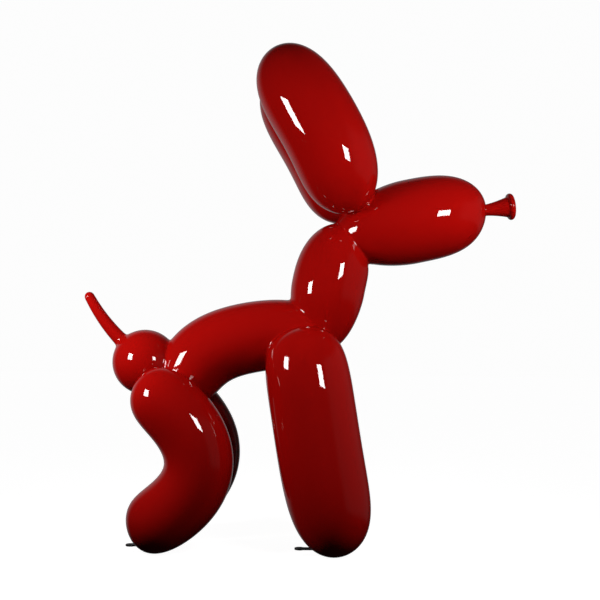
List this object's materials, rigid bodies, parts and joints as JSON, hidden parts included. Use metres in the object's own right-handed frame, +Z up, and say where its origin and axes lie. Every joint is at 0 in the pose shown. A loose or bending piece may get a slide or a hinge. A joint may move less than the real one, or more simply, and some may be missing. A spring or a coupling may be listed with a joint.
{
  "type": "balloon dog statue",
  "caption": "Floor statue of a poodle twisted from a long balloon, cast in gloss red, with flat steel lugs behind its feet.",
  "frame": {"origin": "on the floor, below the middle of the statue's outline", "axes": "+X the way the dog faces, +Y its left side, +Z up"},
  "size_m": [1.7658, 0.6874, 2.0113],
  "materials": {
    "gloss_red_paint": "high gloss",
    "black_painted_steel": "satin"
  },
  "bodies": {
    "root": {"balloon_poodle": "gloss_red_paint", "anchor_lug_front_left": "black_painted_steel", "anchor_lug_front_right": "black_painted_steel", "anchor_lug_hind_left": "black_painted_steel", "anchor_lug_hind_right": "black_painted_steel"}
  },
  "joints": []
}
